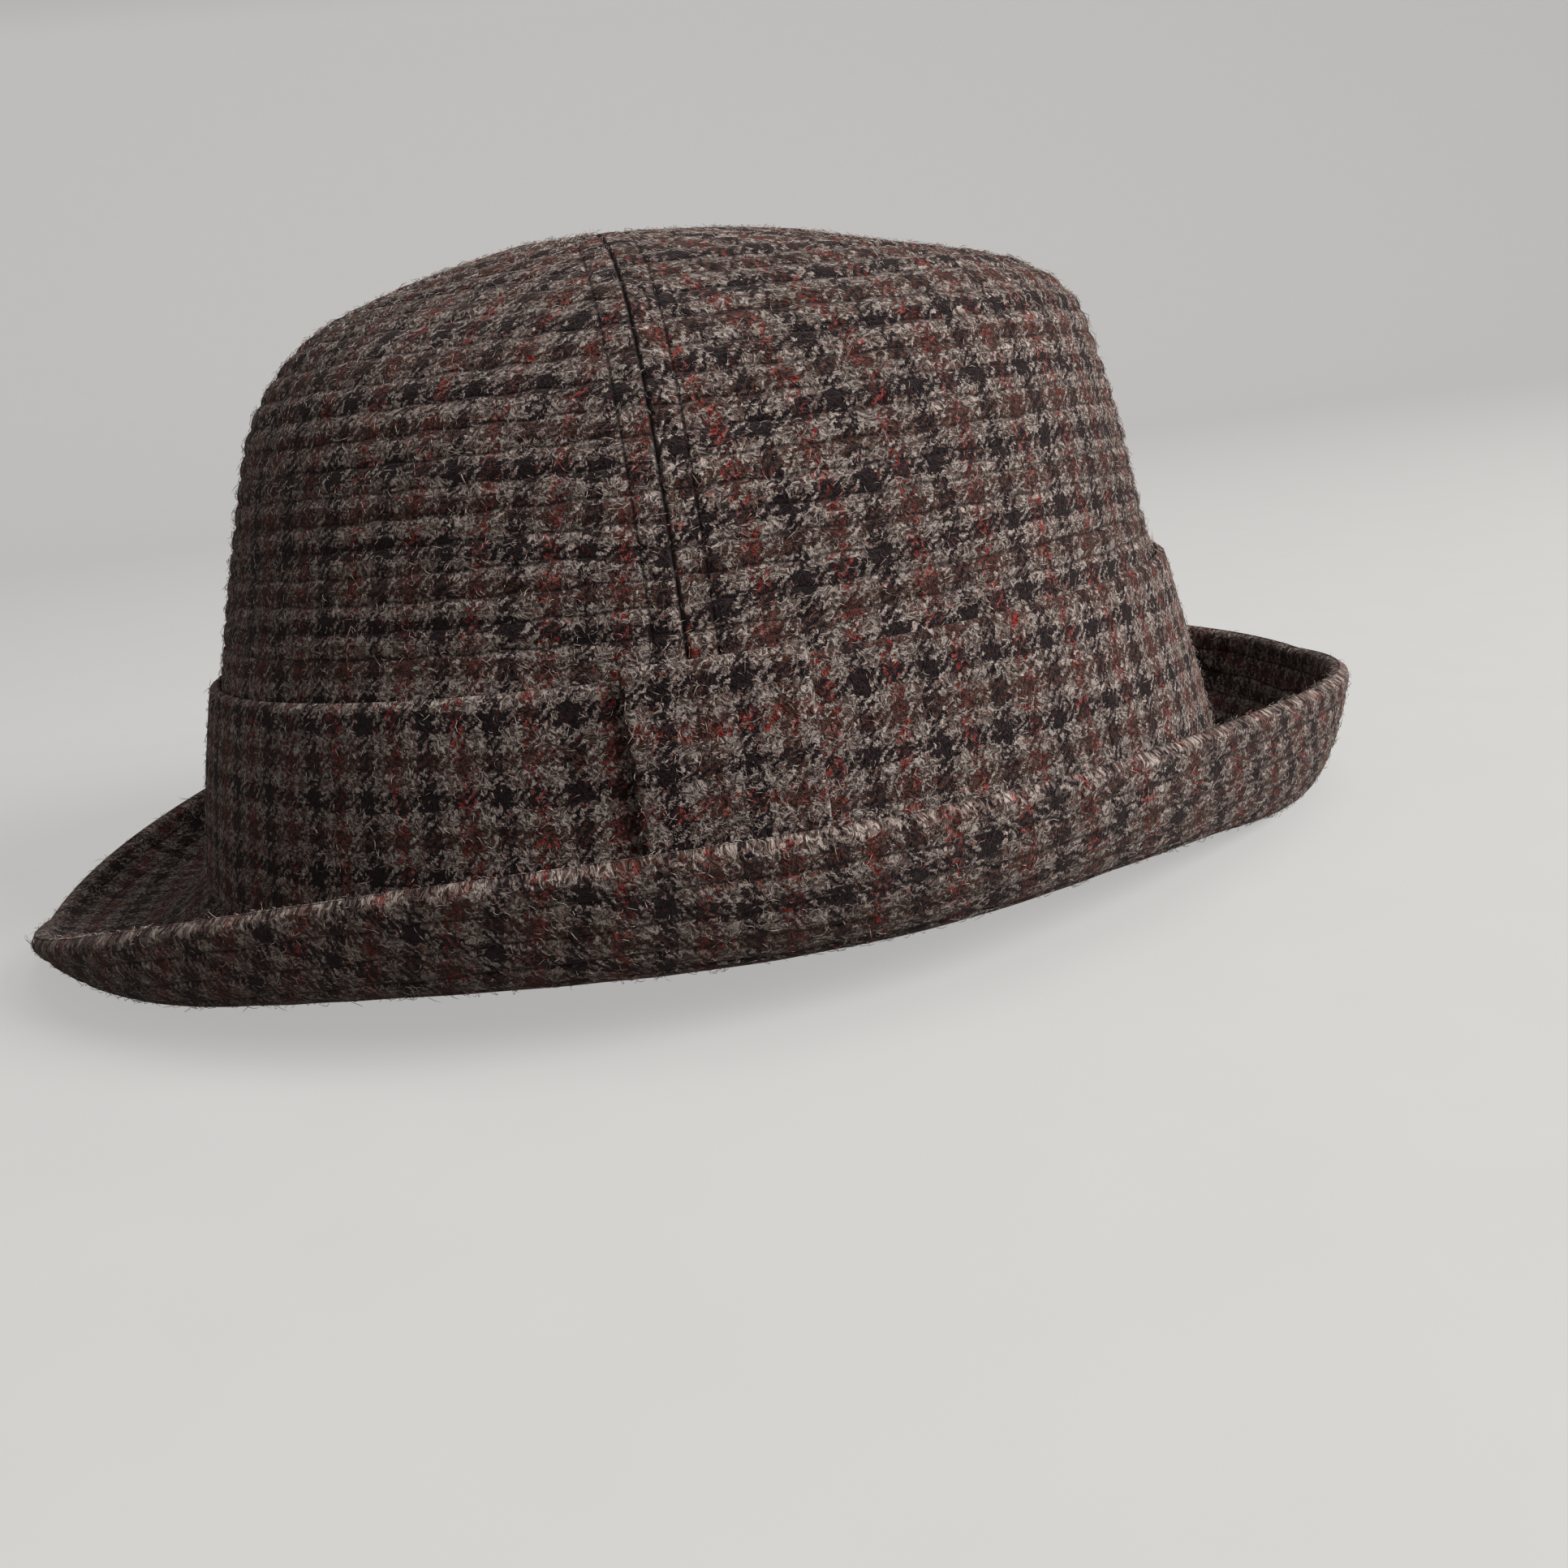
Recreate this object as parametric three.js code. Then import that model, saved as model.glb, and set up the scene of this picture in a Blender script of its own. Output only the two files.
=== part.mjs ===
// Row-stitched tweed trilby with a self-fabric band.
// Millimetres, +Z up. The front of the hat points to -Y and the wearer's left to +X.
// The origin is on the surface that the brim rests on, under the middle of the brim.
import * as THREE from "three";
import * as BufferGeometryUtils from "three/addons/utils/BufferGeometryUtils.js";

// Head oval, measured over the outside of the crown cloth at the head line
const CROWN_LENGTH = 206;
const CROWN_WIDTH = 175;
const CROWN_SET_BACK = 1.5; // middle of the oval, behind the middle of the brim
const SEAM_FORWARD = 12; // side seams, ahead of the middle of the oval
const HEAD_LINE_HEIGHT = 13.9;
const HEAD_LINE_TILT = 0.016; // rise towards the back, per millimetre
const CROWN_HEIGHT = 110.3; // head line to the top of the crown

// Brim, outside sizes
const BRIM_LENGTH = 276;
const BRIM_WIDTH = 240;
const BRIM_FRONT_PULL = 6; // the edge curls further in between the sides and the front
const BRIM_BACK_PULL = 10.5; // and between the sides and the back
const BRIM_SIDE_DROP = 0.4; // fall from the head seam to the lowest line, at the sides
const BRIM_EDGE_FRONT = 4;
const BRIM_EDGE_SIDE = 31;
const BRIM_EDGE_BACK = 22;
const BRIM_CLOTH = 1.3;
const BRIM_INTERLINING = 0.8;
const BRIM_TUCK = 1.6; // brim reaches this far in under the crown wall

// Cloths and linings
const CROWN_CLOTH = 1.4;
const CANVAS = 0.7;
const SATIN = 0.5;
const TAPE_HEIGHT = 7.5;
const SWEATBAND_LEATHER = 0.9;
const SWEATBAND_HEIGHT = 35;
const REED_RADIUS = 0.8;
const LINING_TIP_AT = 6; // the lining's side meets its tip on this row of crown facets

// Band and its keeper
const BAND_HEIGHT = 37;
const BAND_CLOTH = 1.8;
const KEEPER_WIDTH = 29.5;
const KEEPER_FRONT = -21.3; // front edge of the keeper
const KEEPER_OVER = 1.8; // stands this far above the band
const KEEPER_CLOTH = 1.7;

// Small pieces on the sweatband
const BOW_WIDTH = 24;
const BOW_HEIGHT = 9;
const BOW_THICK = 1.2;
const TICKET_WIDTH = 15;
const TICKET_HEIGHT = 9;
const TICKET_THICK = 0.4;

const CLEAR = 0.3; // clearance between pieces that touch
const AROUND = 44; // facets around each ring, a whole number in each quarter

const TWEED = { color: 0x6d645f, roughness: 0.95, metalness: 0 };
const CANVAS_LOOK = { color: 0xd9d2c4, roughness: 0.9, metalness: 0 };
const SATIN_LOOK = { color: 0x4a2f28, roughness: 0.4, metalness: 0 };
const LEATHER = { color: 0x5a3a26, roughness: 0.55, metalness: 0 };
const RIBBON = { color: 0x3a2a24, roughness: 0.6, metalness: 0 };
const NYLON = { color: 0xe8e4da, roughness: 0.4, metalness: 0 };
const TICKET = { color: 0xe9e2d2, roughness: 0.8, metalness: 0 };

const hat = new THREE.Group();
hat.name = "trilby";

// Crown profiles, as [distance from the middle, height], both 0 to 1, from head line to top
const points = (rows) => new THREE.SplineCurve(rows.map(([k, h]) => new THREE.Vector2(k, h)));
const FRONT_PROFILE = points([
  [1, 0], [0.91, 0.344], [0.831, 0.581], [0.775, 0.722], [0.702, 0.818],
  [0.601, 0.889], [0.45, 0.938], [0.288, 0.974], [0.128, 0.995], [0, 1],
]);
const SIDE_PROFILE = points([
  [1, 0], [0.973, 0.317], [0.919, 0.564], [0.862, 0.696], [0.805, 0.775],
  [0.741, 0.837], [0.654, 0.89], [0.512, 0.943], [0.298, 0.985], [0, 1],
]);
const BACK_PROFILE = points([
  [1, 0], [0.926, 0.349], [0.884, 0.589], [0.852, 0.728], [0.828, 0.802],
  [0.775, 0.855], [0.7, 0.888], [0.533, 0.929], [0.335, 0.974], [0, 1],
]);

// Rows of crown facets, as steps along those profiles; every layer of the crown shares them
const CROWN_STEPS = [0, 0.11, 0.22, 0.33, 0.44, 0.52, 0.6, 0.68, 0.77, 0.88, 1];

const seamY = CROWN_SET_BACK - SEAM_FORWARD;
const crownTop = HEAD_LINE_HEIGHT + CROWN_HEIGHT;
const headLine = (y) => HEAD_LINE_HEIGHT + HEAD_LINE_TILT * (y - CROWN_SET_BACK);

// Point of the head oval seen from the crossing of the seams at this angle
function headOval(angle) {
  const a = CROWN_WIDTH / 2;
  const b = CROWN_LENGTH / 2;
  const c = Math.cos(angle);
  const s = Math.sin(angle);
  const p = (c * c) / (a * a) + (s * s) / (b * b);
  const q = (-SEAM_FORWARD * s) / (b * b);
  const r = (SEAM_FORWARD * SEAM_FORWARD) / (b * b) - 1;
  const reach = (-q + Math.sqrt(q * q - p * r)) / p;
  return new THREE.Vector2(c * reach, seamY + s * reach);
}

// Outer face of the crown: angle around, step from 0 at the head line to 1 at the top
function crownFace(angle, step) {
  const base = headOval(angle);
  const s = Math.sin(angle);
  const end = (s < 0 ? FRONT_PROFILE : BACK_PROFILE).getPoint(step);
  const mix = SIDE_PROFILE.getPoint(step).lerp(end, s * s);
  const z = THREE.MathUtils.lerp(headLine(base.y), crownTop, mix.y);
  return new THREE.Vector3(base.x * mix.x, seamY + (base.y - seamY) * mix.x, z);
}

// The same point moved inward through the wall by depth, square to the face
function crownPoint(angle, step, depth) {
  const at = crownFace(angle, step);
  if (step > 0.9999) {
    return at.setZ(at.z - depth);
  }
  const d = 1e-3;
  const along = crownFace(angle + d, step).sub(crownFace(angle - d, step));
  const low = crownFace(angle, Math.max(0, step - d));
  const up = crownFace(angle, Math.min(1, step + d)).sub(low);
  const square = along.cross(up);
  if (step < 1e-6) {
    square.z = 0; // the lower edges all lie on the head line
  }
  return at.addScaledVector(square.normalize(), -depth);
}

// Step at which the crown face stands this far above the head line
function stepAt(angle, height) {
  const base = crownFace(angle, 0).z;
  let low = 0;
  let high = 1;
  for (let i = 0; i < 30; i++) {
    const half = (low + high) / 2;
    if (crownFace(angle, half).z - base < height) {
      low = half;
    } else {
      high = half;
    }
  }
  return (low + high) / 2;
}

const wallPoint = (angle, height, depth) => crownPoint(angle, stepAt(angle, height), depth);

// Point on the flat facet between two rows, at the same depth as both
function facetPoint(angle, step, depth) {
  const row = Math.max(1, CROWN_STEPS.findIndex((s) => s >= step));
  const [low, high] = [CROWN_STEPS[row - 1], CROWN_STEPS[row]];
  const up = crownPoint(angle, high, depth);
  return crownPoint(angle, low, depth).lerp(up, (step - low) / (high - low));
}

// Joins coincident vertices, drops collapsed faces and turns the faces outward
function closed(geometry) {
  geometry.deleteAttribute("normal");
  geometry.deleteAttribute("uv");
  const merged = BufferGeometryUtils.mergeVertices(geometry, 1e-3);
  const from = merged.index.array;
  const at = merged.attributes.position;
  const faces = [];
  let volume = 0;
  const corner = [new THREE.Vector3(), new THREE.Vector3(), new THREE.Vector3()];
  for (let i = 0; i < from.length; i += 3) {
    const [a, b, c] = [from[i], from[i + 1], from[i + 2]];
    if (a === b || b === c || c === a) {
      continue;
    }
    faces.push(a, b, c);
    [a, b, c].forEach((v, k) => corner[k].fromBufferAttribute(at, v));
    volume += corner[0].dot(corner[1].clone().cross(corner[2]));
  }
  if (volume < 0) {
    faces.reverse();
  }
  merged.setIndex(faces);
  merged.computeVertexNormals();
  return merged;
}

function piece(name, geometry, look) {
  const mesh = new THREE.Mesh(closed(geometry), new THREE.MeshStandardMaterial(look));
  mesh.name = name;
  hat.add(mesh);
  return mesh;
}

// Turned shape whose section changes with the angle; a section of a ring ends where it starts
function turned(section) {
  const count = section(0).length;
  const profile = Array.from({ length: count }, (_, j) => new THREE.Vector2(1, j));
  const geometry = new THREE.LatheGeometry(profile, AROUND);
  const at = geometry.attributes.position;
  for (let i = 0; i <= AROUND; i++) {
    const row = section(((i % AROUND) / AROUND) * Math.PI * 2);
    row.forEach((p, j) => at.setXYZ(i * count + j, p.x, p.y, p.z));
  }
  // Both faces of a wall split their facets along the same diagonal, so layers nest
  const faces = geometry.index.array;
  for (let quad = 0; quad * 6 < faces.length; quad++) {
    if (quad % (count - 1) >= Math.floor(count / 2)) {
      const [a, b, d, c] = faces.slice(quad * 6, quad * 6 + 4);
      faces.set([a, b, c, a, c, d], quad * 6);
    }
  }
  return geometry;
}

// Slab moved onto a wall: place(across, up, through), each from 0 to 1
function slab(across, up, place) {
  const geometry = new THREE.BoxGeometry(1, 1, 1, across, up, 1);
  const at = geometry.attributes.position;
  for (let i = 0; i < at.count; i++) {
    const p = place(at.getX(i) + 0.5, at.getY(i) + 0.5, at.getZ(i) + 0.5);
    at.setXYZ(i, p.x, p.y, p.z);
  }
  return geometry;
}

// Ring on the crown wall between two heights and two depths
function wallRing(low, high, depth, thick, rows = 2) {
  return turned((angle) => {
    const heights = Array.from({ length: rows + 1 }, (_, j) => low + ((high - low) * j) / rows);
    const steps = heights.map((h) => stepAt(angle, h));
    const outer = steps.map((s) => facetPoint(angle, s, depth));
    const inner = steps.map((s) => facetPoint(angle, s, depth + thick)).reverse();
    return [...outer, ...inner, outer[0]];
  });
}

// Crown cloth: four panels that meet at the top of the head
const QUARTERS = [
  ["crown_front_left", 1, -1],
  ["crown_front_right", -1, -1],
  ["crown_back_left", 1, 1],
  ["crown_back_right", -1, 1],
];
for (const [name, sideX, sideY] of QUARTERS) {
  const geometry = slab(AROUND / 4, CROWN_STEPS.length - 1, (across, up, through) => {
    const step = CROWN_STEPS[Math.round(up * (CROWN_STEPS.length - 1))];
    const p = crownPoint(across * sideY * Math.PI / 2, step, through * CROWN_CLOTH);
    p.x = (p.x + CLEAR / 2) * sideX;
    p.y += (CLEAR / 2) * sideY;
    return p;
  });
  piece(name, geometry, TWEED);
}

// Canvas interlining under the crown cloth, quilted to it by the rows of stitching
const canvasDepth = CROWN_CLOTH + CLEAR;
piece("crown_interlining", turned((angle) => {
  const outer = CROWN_STEPS.map((s) => crownPoint(angle, s, canvasDepth)).reverse();
  const inner = CROWN_STEPS.map((s) => crownPoint(angle, s, canvasDepth + CANVAS));
  return [...outer, ...inner];
}), CANVAS_LOOK);

// Head tape over the raw edge of the head seam, with the satin lining above it
const liningDepth = canvasDepth + CANVAS + CLEAR;
piece("head_tape", wallRing(0.5, TAPE_HEIGHT, liningDepth, SATIN, 1), CANVAS_LOOK);
const liningLow = TAPE_HEIGHT + CLEAR;
piece("lining_side", turned((angle) => {
  const steps = [stepAt(angle, liningLow), ...CROWN_STEPS.slice(1, LINING_TIP_AT + 1)];
  const outer = steps.map((s) => facetPoint(angle, s, liningDepth));
  const inner = steps.map((s) => facetPoint(angle, s, liningDepth + SATIN)).reverse();
  return [...outer, ...inner, outer[0]];
}), SATIN_LOOK);
piece("lining_tip", turned((angle) => {
  const gap = (CLEAR * 1.2) / (CROWN_HEIGHT + CROWN_WIDTH / 2);
  const steps = [CROWN_STEPS[LINING_TIP_AT] + gap, ...CROWN_STEPS.slice(LINING_TIP_AT + 1)];
  const outer = steps.map((s) => facetPoint(angle, s, liningDepth)).reverse();
  const inner = steps.map((s) => facetPoint(angle, s, liningDepth + SATIN));
  return [...outer, ...inner];
}), SATIN_LOOK);

// Sweatband, sewn in at the head line, with a reed in its lower edge
const sweatDepth = liningDepth + SATIN + CLEAR;
piece("sweatband", wallRing(0.1, SWEATBAND_HEIGHT, sweatDepth, SWEATBAND_LEATHER), LEATHER);
const reedDepth = sweatDepth + SWEATBAND_LEATHER / 2;
piece("sweatband_reed", turned((angle) => {
  const middle = wallPoint(angle, 0, reedDepth);
  const wall = wallPoint(angle, 0, 0);
  const inward = middle.clone().sub(wall).setZ(0).normalize();
  const ring = [];
  for (let i = 0; i <= 8; i++) {
    const turn = (i / 8) * Math.PI * 2;
    const p = middle.clone().addScaledVector(inward, REED_RADIUS * Math.cos(turn));
    p.z = headLine(wall.y) - CLEAR - REED_RADIUS + REED_RADIUS * Math.sin(turn);
    ring.push(p);
  }
  ring[8] = ring[0];
  return ring;
}), NYLON);

// Ribbon bow at the back of the sweatband and the plain size ticket beside it
const faceDepth = sweatDepth + SWEATBAND_LEATHER + CLEAR * 2; // the facets bulge inward
const backRadius = CROWN_LENGTH / 2 + SEAM_FORWARD;
piece("sweatband_bow", slab(8, 2, (across, up, through) => {
  const side = (across - 0.5) * 2;
  const tall = BOW_HEIGHT * (0.4 + 0.6 * Math.abs(side));
  const angle = Math.PI / 2 - (side * BOW_WIDTH) / 2 / backRadius;
  const height = SWEATBAND_HEIGHT * 0.62 + (up - 0.5) * tall;
  return wallPoint(angle, height, faceDepth + through * BOW_THICK);
}), RIBBON);
piece("size_ticket", slab(4, 1, (across, up, through) => {
  const angle = Math.PI * 0.36 + ((across - 0.5) * TICKET_WIDTH) / backRadius;
  const height = SWEATBAND_HEIGHT * 0.45 + (up - 0.5) * TICKET_HEIGHT;
  return wallPoint(angle, height, faceDepth + through * TICKET_THICK);
}), TICKET);

// Band of the crown's cloth, and the wide keeper of the same cloth over its join
const bandLow = 0.2; // the band stands on the brim
const bandDepth = CLEAR * 1.5;
piece("hat_band", wallRing(bandLow, BAND_HEIGHT, -bandDepth, -BAND_CLOTH, 4), TWEED);
const keeperDepth = bandDepth + BAND_CLOTH + CLEAR;
const leftAngle = (y) => {
  const out = (y - CROWN_SET_BACK) / (CROWN_LENGTH / 2);
  return Math.atan2(y - seamY, (CROWN_WIDTH / 2) * Math.sqrt(1 - out * out));
};
piece("band_keeper", slab(6, 3, (across, up, through) => {
  const angle = leftAngle(KEEPER_FRONT + across * KEEPER_WIDTH);
  const height = bandLow + up * (BAND_HEIGHT + KEEPER_OVER - bandLow);
  return wallPoint(angle, height, -keeperDepth - through * KEEPER_CLOTH);
}), TWEED);

// Brim: its underside in section, from under the crown wall out to the curled edge
const BRIM_DROP = [[0, 1], [0.11, 0.68], [0.22, 0.34], [0.32, 0.1], [0.42, 0]];
const BRIM_RISE = [[0.58, 0], [0.7, 0.07], [0.8, 0.2], [0.89, 0.42], [0.96, 0.72], [1, 1]];
const brimThick = BRIM_CLOTH * 2 + BRIM_INTERLINING + CLEAR * 2;

// Underside of the brim at a turn around it, as points in the plane across the brim
function brimSection(turn) {
  const c = Math.cos(turn);
  const s = Math.sin(turn);
  const a = CROWN_WIDTH / 2;
  const b = CROWN_LENGTH / 2;
  const out = new THREE.Vector2(c / a, s / b).normalize();
  const oval = new THREE.Vector2(a * c, CROWN_SET_BACK + b * s);
  const atEnd = BRIM_LENGTH / 2 - Math.sign(s) * CROWN_SET_BACK - b;
  const atSide = BRIM_WIDTH / 2 - a;
  const pull = (s < 0 ? BRIM_FRONT_PULL : BRIM_BACK_PULL) * Math.sin(2 * turn) ** 2;
  const width = THREE.MathUtils.lerp(atEnd, atSide, c * c) - pull + BRIM_TUCK;
  const head = oval.addScaledVector(out, -BRIM_TUCK);
  const start = headLine(head.y) - CLEAR - brimThick;
  const lift = (start - BRIM_SIDE_DROP) * THREE.MathUtils.smoothstep(Math.abs(c), 0.35, 1);
  const end = s < 0 ? BRIM_EDGE_FRONT : BRIM_EDGE_BACK;
  const top = THREE.MathUtils.lerp(end, BRIM_EDGE_SIDE, Math.pow(Math.abs(c), 1.1));
  const line = [
    ...BRIM_DROP.map(([f, k]) => new THREE.Vector2(f * width, lift + (start - lift) * k)),
    ...BRIM_RISE.map(([f, k]) => new THREE.Vector2(f * width, lift + (top - lift) * k)),
  ];
  return { head, out, line };
}

// One layer of the brim, between two depths up from its underside
function brimLayer(depth, thick) {
  return turned((turn) => {
    const { head, out, line } = brimSection(turn);
    const face = (up) => line.map((p, i) => {
      const before = line[Math.max(0, i - 1)];
      const after = line[Math.min(line.length - 1, i + 1)];
      const run = after.clone().sub(before).normalize();
      const flat = p.x - run.y * up;
      return new THREE.Vector3(head.x + out.x * flat, head.y + out.y * flat, p.y + run.x * up);
    });
    const under = face(depth);
    return [...under, ...face(depth + thick).reverse(), under[0]];
  });
}
const canvasUp = BRIM_CLOTH + CLEAR;
piece("brim_under", brimLayer(0, BRIM_CLOTH), TWEED);
piece("brim_interlining", brimLayer(canvasUp, BRIM_INTERLINING), CANVAS_LOOK);
piece("brim_upper", brimLayer(canvasUp + BRIM_INTERLINING + CLEAR, BRIM_CLOTH), TWEED);

export default hat;
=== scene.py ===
import bmesh
import bpy
import math
from functools import lru_cache

import numpy as np
from mathutils import Matrix, Vector


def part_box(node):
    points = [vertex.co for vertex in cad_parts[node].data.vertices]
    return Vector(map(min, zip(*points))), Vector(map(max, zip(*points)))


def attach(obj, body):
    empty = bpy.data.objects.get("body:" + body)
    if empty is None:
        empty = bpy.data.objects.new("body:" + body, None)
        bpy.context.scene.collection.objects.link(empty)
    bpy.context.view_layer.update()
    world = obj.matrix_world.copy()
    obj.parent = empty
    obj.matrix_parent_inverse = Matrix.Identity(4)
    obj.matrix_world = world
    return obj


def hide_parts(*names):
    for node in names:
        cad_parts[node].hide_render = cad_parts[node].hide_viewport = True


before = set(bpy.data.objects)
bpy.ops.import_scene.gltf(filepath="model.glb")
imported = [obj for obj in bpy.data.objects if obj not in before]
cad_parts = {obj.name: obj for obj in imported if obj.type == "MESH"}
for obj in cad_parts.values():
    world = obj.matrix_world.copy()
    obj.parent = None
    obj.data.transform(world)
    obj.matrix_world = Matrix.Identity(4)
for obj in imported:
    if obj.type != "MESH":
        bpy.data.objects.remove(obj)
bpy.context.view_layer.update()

# ---------------------------------------------------------------------------
# Crown cloth: four panels of wool tweed, cut with the check straight on the
# middle of each panel and sewn together at the front, back and sides. Rows of
# stitching quilt them to a canvas, and each seam is topstitched on both sides.
# ---------------------------------------------------------------------------
SEAM_Y = -10.5  # side seams, in millimetres like every size below
CROWN_WIDE, CROWN_LONG, CROWN_MIDDLE = 175, 206, 1.5
CROWN_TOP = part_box("crown_front_left")[1].z * 1000
PANEL_GAP = 0.05
CROWN_CLOTH = 1.3
ROW_FIRST, ROW_PITCH, ROWS_ON_WALL, ROWS_ON_TOP = 56.7, 4.35, 12, 12
ROW_SINK, ROW_PUFF = 0.34, 0.12
TOPSTITCH = 4.9  # from the seam

FRONT_LINE = [(1, 0), (.91, .344), (.831, .581), (.775, .722), (.702, .818),
              (.601, .889), (.45, .938), (.288, .974), (.128, .995), (0, 1)]
SIDE_LINE = [(1, 0), (.973, .317), (.919, .564), (.862, .696), (.805, .775),
             (.741, .837), (.654, .89), (.512, .943), (.298, .985), (0, 1)]
BACK_LINE = [(1, 0), (.926, .349), (.884, .589), (.852, .728), (.828, .802),
             (.775, .855), (.7, .888), (.533, .929), (.335, .974), (0, 1)]


def head_line(y):
    return 13.9 + 0.016 * (y - CROWN_MIDDLE)


def smooth_line(points, t):
    """Points along a smooth curve through the given ones, t from 0 to 1."""
    points = np.array(points)
    last = len(points) - 1
    place = np.clip(t, 0, 1) * last
    i = np.minimum(place.astype(int), last - 1)
    w = (place - i)[:, None]
    p0, p1, p2, p3 = (points[np.clip(i + k, 0, last)] for k in (-1, 0, 1, 2))
    v0, v1 = (p2 - p0) / 2, (p3 - p1) / 2
    return ((2 * p1 - 2 * p2 + v0 + v1) * w ** 3
            + (3 * p2 - 3 * p1 - 2 * v0 - v1) * w ** 2 + v0 * w + p1)


def head_oval(angle):
    a, b, ahead = CROWN_WIDE / 2, CROWN_LONG / 2, CROWN_MIDDLE - SEAM_Y
    c, s = math.cos(angle), math.sin(angle)
    p = (c / a) ** 2 + (s / b) ** 2
    q = -ahead * s / b ** 2
    reach = (-q + math.sqrt(q * q - p * ((ahead / b) ** 2 - 1))) / p
    return c * reach, SEAM_Y + s * reach


@lru_cache(maxsize=None)
def crown_line(angle):
    """The crown's outside from head line to top, at an angle from the crossing of the seams."""
    x, y = head_oval(angle)
    steps = np.linspace(0, 1, 301)
    end = smooth_line(FRONT_LINE if math.sin(angle) < 0 else BACK_LINE, steps)
    side = smooth_line(SIDE_LINE, steps)
    k, h = (side + (end - side) * math.sin(angle) ** 2).T
    low = head_line(y)
    return np.stack([x * k, SEAM_Y + (y - SEAM_Y) * k, low + (CROWN_TOP - low) * h], 1)


@lru_cache(maxsize=None)
def crown_wall(angle):
    """The same line with its distance from the head line and the way out of the cloth."""
    line = crown_line(angle)
    out = np.cross(crown_line(angle + 2e-3) - crown_line(angle - 2e-3),
                   np.gradient(line, axis=0))
    out[0, 2] = 0
    out[-1] = (0, 0, 1)
    out /= np.linalg.norm(out, axis=1)[:, None]
    run = np.concatenate([[0], np.cumsum(np.linalg.norm(np.diff(line, axis=0), axis=1))])
    return run, line, out


def on_crown(angle, runs):
    """Points on the crown and the way out of it, at distances up from the head line."""
    run, line, out = crown_wall(angle)
    at = np.stack([np.interp(runs, run, line[:, k]) for k in range(3)], 1)
    way = np.stack([np.interp(runs, run, out[:, k]) for k in range(3)], 1)
    return at, way / np.linalg.norm(way, axis=1)[:, None]


def at_height(angle, heights):
    """Distances up the crown at which it stands this far above the head line."""
    run, line, _ = crown_wall(angle)
    return np.interp(heights, line[:, 2] - line[0, 2], run)


def row_runs(angle, rows):
    """Distances up the crown of the rows of stitching, level on the wall and closing on the top."""
    run, line, _ = crown_wall(angle)
    wall = np.interp(ROW_FIRST + ROW_PITCH * np.minimum(rows, ROWS_ON_WALL), line[:, 2], run)
    last = np.interp(ROW_FIRST + ROW_PITCH * ROWS_ON_WALL, line[:, 2], run)
    over = np.clip((rows - ROWS_ON_WALL) / ROWS_ON_TOP, 0, 1)
    return np.where(rows > ROWS_ON_WALL, last + (run[-1] - last) * over, wall)


def ripple(points, size, seed):
    """A slow, even unevenness of hand-worked cloth, from -1 to 1."""
    p = np.asarray(points) / size + seed
    x, y, z = p[..., 0], p[..., 1], p[..., 2]
    return (np.sin(x * 2.1 + 1.7 * np.sin(y * 1.3 + seed)) * np.cos(y * 1.9 + z * 0.7)
            + np.sin(z * 2.3 + 1.3 * np.sin(x * 1.1)) * np.cos(x * 0.6 - y * 0.9)) / 2


def sewn_piece(name, face, back=None, cloth=None, stands_for=()):
    """A piece of cloth from points on its face, and on its back where it isn't a closed ring."""
    across, up = face.shape[0] - 1, face.shape[1] - 1
    bm = bmesh.new()
    bmesh.ops.create_grid(bm, x_segments=across, y_segments=up, size=0.5)
    if back is not None:
        made = bmesh.ops.extrude_face_region(bm, geom=bm.faces[:])
        corners = [v for v in made["geom"] if isinstance(v, bmesh.types.BMVert)]
        bmesh.ops.translate(bm, vec=(0, 0, -1), verts=corners)
    layer = bm.loops.layers.uv.new("cloth")
    places = {v: (round((v.co.x + 0.5) * across), round((v.co.y + 0.5) * up), v.co.z < -0.5)
              for v in bm.verts}
    for part in bm.faces:
        part.smooth = True
        for corner in part.loops:
            i, j, _ = places[corner.vert]
            corner[layer].uv = cloth[i, j] / 1000
    for v, (i, j, behind) in places.items():
        v.co = Vector((back if behind else face)[i, j]) / 1000
    bmesh.ops.remove_doubles(bm, verts=bm.verts, dist=1e-7)
    bmesh.ops.recalc_face_normals(bm, faces=bm.faces)
    mesh = bpy.data.meshes.new(name)
    bm.to_mesh(mesh)
    bm.free()
    piece = bpy.data.objects.new(name, mesh)
    bpy.context.collection.objects.link(piece)
    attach(piece, "root")
    if stands_for:
        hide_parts(*stands_for)
    return piece


class Value:
    """A number that changes over the cloth, so that sums on it read as sums."""

    def __init__(self, finish, socket):
        self.finish, self.socket = finish, socket

    def sum(self, operation, *terms):
        return self.finish.add("Math", {"operation": operation}, dict(enumerate(terms)))

    def __add__(self, other): return self.sum("ADD", self, other)
    __radd__ = __add__
    def __sub__(self, other): return self.sum("SUBTRACT", self, other)
    def __rsub__(self, other): return self.sum("SUBTRACT", other, self)
    def __mul__(self, other): return self.sum("MULTIPLY", self, other)
    __rmul__ = __mul__
    def __truediv__(self, other): return self.sum("DIVIDE", self, other)
    def __mod__(self, other): return self.sum("FLOORED_MODULO", self, other)
    def __lt__(self, other): return self.sum("LESS_THAN", self, other)
    def __gt__(self, other): return self.sum("GREATER_THAN", self, other)
    def __abs__(self): return self.sum("ABSOLUTE", self)
    def __floor__(self): return self.sum("FLOOR", self)
    def least(self, other): return self.sum("MINIMUM", self, other)
    def most(self, other): return self.sum("MAXIMUM", self, other)


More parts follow.
